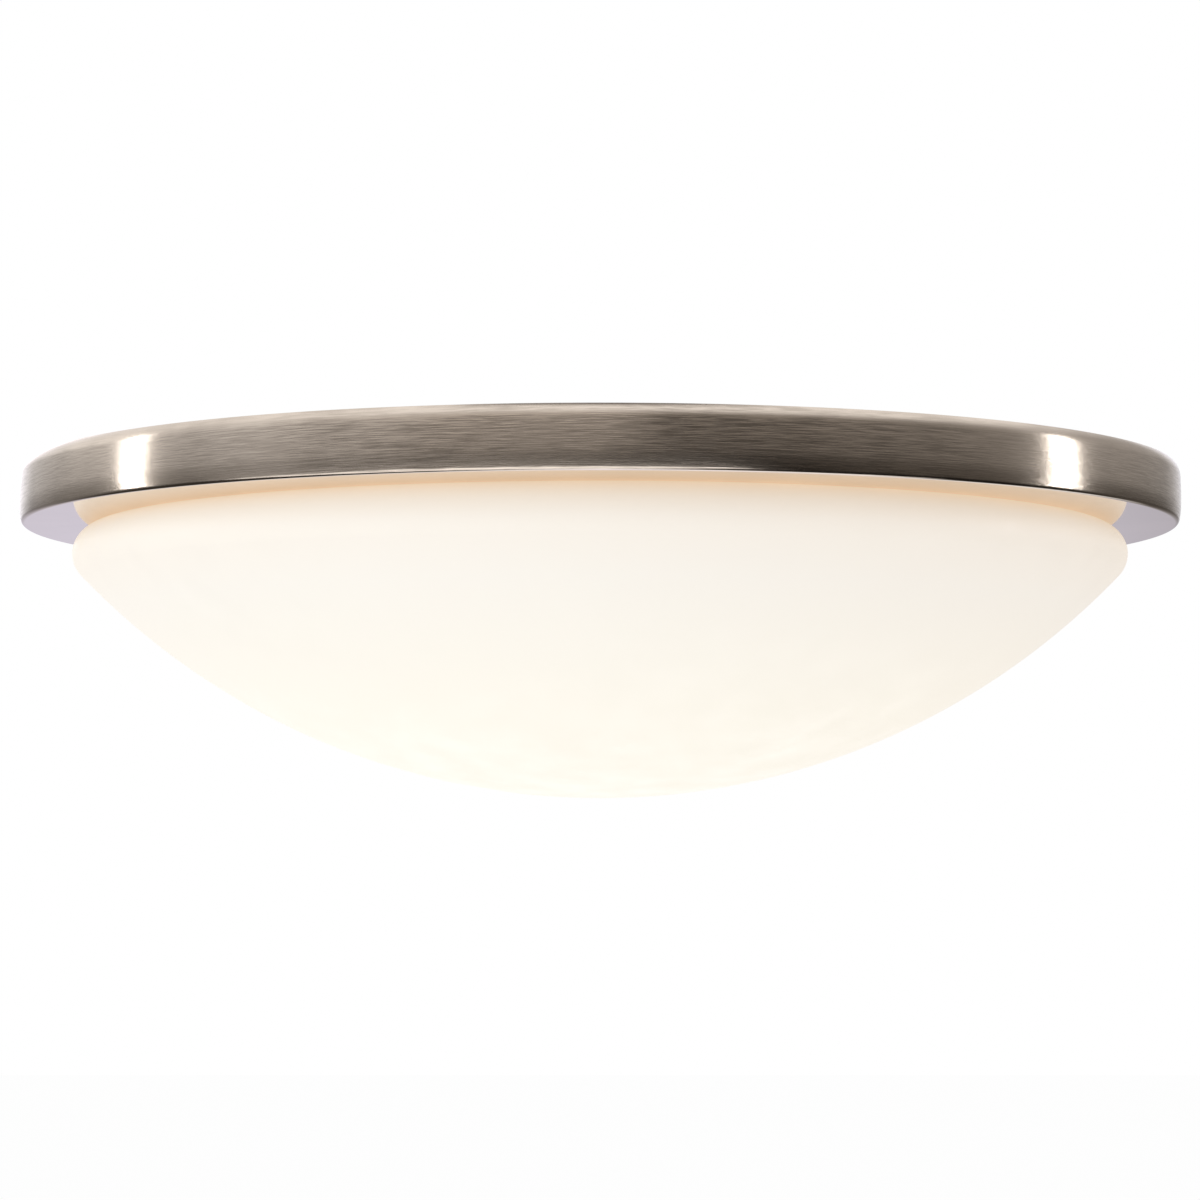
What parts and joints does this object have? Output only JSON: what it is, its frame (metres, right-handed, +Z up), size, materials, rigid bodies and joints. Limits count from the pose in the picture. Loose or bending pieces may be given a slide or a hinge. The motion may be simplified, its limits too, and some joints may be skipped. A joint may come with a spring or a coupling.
{
  "type": "flush mount ceiling light",
  "caption": "Round flush mount ceiling light: brushed nickel trim ring, domed opal glass bowl on sprung pawls, and screw-in lamps on a white back pan.",
  "frame": {"origin": "centre of the ceiling plane that the trim ring and the mounting bracket lie against", "axes": "+Z up into the ceiling, the light hangs below; +Y points to lamp 1, +X along the arms of the bracket that carry the studs"},
  "size_m": [0.3809, 0.381, 0.1071],
  "materials": {
    "brushed_nickel": "circumferentially brushed nickel plate",
    "white_enamel": "white baked enamel",
    "zinc_steel": "bright zinc-plated steel",
    "green_steel": "green-dyed zinc plate",
    "glass_wool": "pressed glass wool",
    "porcelain": "white glaze",
    "brass": "rolled brass",
    "bronze": "phosphor bronze strip",
    "nickel_cap": "nickel-plated brass",
    "black_glass": "black vitreous insulator",
    "solder": "solder",
    "white_plastic": "white moulded housing",
    "frosted_globe": "frosted diffuser, lit",
    "nylon": "natural nylon",
    "bushing_plastic": "black nylon",
    "black_insulation": "black lead insulation",
    "white_insulation": "white lead insulation",
    "green_insulation": "green lead insulation",
    "opal_glass": "opal glass, satin inside, lit from inside",
    "spring_steel": "blued spring steel",
    "acetal": "white acetal"
  },
  "bodies": {
    "root": {"trim_ring": "brushed_nickel", "back_pan": "white_enamel", "insulation_pad": "glass_wool", "rim_rivets": "zinc_steel", "mounting_bracket": "zinc_steel", "mounting_studs": "zinc_steel", "stud_washers": "zinc_steel", "cap_nuts": "zinc_steel", "ground_screw": "green_steel", "holder_screws": "zinc_steel", "wire_bushings": "bushing_plastic", "terminal_block": "nylon", "terminal_clamps": "brass", "terminal_screws": "zinc_steel", "block_screws": "zinc_steel", "earth_tag": "brass", "earth_screw": "green_steel", "earth_lead": "green_insulation", "pawl_pins": "zinc_steel", "pawl_rivets": "zinc_steel", "lampholder_1": "porcelain", "socket_shell_1": "brass", "centre_contact_1": "bronze", "black_lead_1": "black_insulation", "white_lead_1": "white_insulation", "pawl_bracket_1": "zinc_steel", "pawl_spring_1": "spring_steel", "lampholder_2": "porcelain", "socket_shell_2": "brass", "centre_contact_2": "bronze", "black_lead_2": "black_insulation", "white_lead_2": "white_insulation", "pawl_bracket_2": "zinc_steel", "pawl_spring_2": "spring_steel", "lampholder_3": "porcelain", "socket_shell_3": "brass", "centre_contact_3": "bronze", "black_lead_3": "black_insulation", "white_lead_3": "white_insulation", "pawl_bracket_3": "zinc_steel", "pawl_spring_3": "spring_steel"},
    "lamp_1": {"lamp_1_cap": "nickel_cap", "lamp_1_insulator": "black_glass", "lamp_1_tip_contact": "solder", "lamp_1_housing": "white_plastic", "lamp_1_globe": "frosted_globe"},
    "lamp_2": {"lamp_2_cap": "nickel_cap", "lamp_2_insulator": "black_glass", "lamp_2_tip_contact": "solder", "lamp_2_housing": "white_plastic", "lamp_2_globe": "frosted_globe"},
    "lamp_3": {"lamp_3_cap": "nickel_cap", "lamp_3_insulator": "black_glass", "lamp_3_tip_contact": "solder", "lamp_3_housing": "white_plastic", "lamp_3_globe": "frosted_globe"},
    "pawl_1": {"pawl_1": "acetal"},
    "pawl_2": {"pawl_2": "acetal"},
    "pawl_3": {"pawl_3": "acetal"},
    "bowl": {"glass_bowl": "opal_glass"}
  },
  "joints": [
    {"name": "bowl_drop", "type": "slide", "parent": "root", "child": "bowl", "axis": [0, 0, -1], "range_m": [0, 0.12]},
    {"name": "pawl_1_swing", "type": "hinge", "parent": "root", "child": "pawl_1", "pos_m": [0.12886, 0.0744, -0.0215], "axis": [-0.5, 0.866, 0], "range_deg": [0, 36], "stiffness_Nm_per_rad": 0.02, "springref_deg": -34.38, "deforming": ["pawl_spring_1"]},
    {"name": "pawl_2_swing", "type": "hinge", "parent": "root", "child": "pawl_2", "pos_m": [-0.12886, 0.0744, -0.0215], "axis": [-0.5, -0.866, 0], "range_deg": [0, 36], "stiffness_Nm_per_rad": 0.02, "springref_deg": -34.38, "deforming": ["pawl_spring_2"]},
    {"name": "pawl_3_swing", "type": "hinge", "parent": "root", "child": "pawl_3", "pos_m": [0, -0.1488, -0.0215], "axis": [1, 0, 0], "range_deg": [0, 36], "stiffness_Nm_per_rad": 0.02, "springref_deg": -34.38, "deforming": ["pawl_spring_3"]},
    {"name": "lamp_1_turn", "type": "hinge", "parent": "root", "child": "lamp_1", "pos_m": [0, 0.055, -0.04], "axis": [0, 1, 0], "range_deg": [0, 1080]},
    {"name": "lamp_2_turn", "type": "hinge", "parent": "root", "child": "lamp_2", "pos_m": [-0.04763, -0.0275, -0.04], "axis": [-0.866, -0.5, 0], "range_deg": [0, 1080]},
    {"name": "lamp_3_turn", "type": "hinge", "parent": "root", "child": "lamp_3", "pos_m": [0.04763, -0.0275, -0.04], "axis": [0.866, -0.5, 0], "range_deg": [0, 1080]}
  ]
}
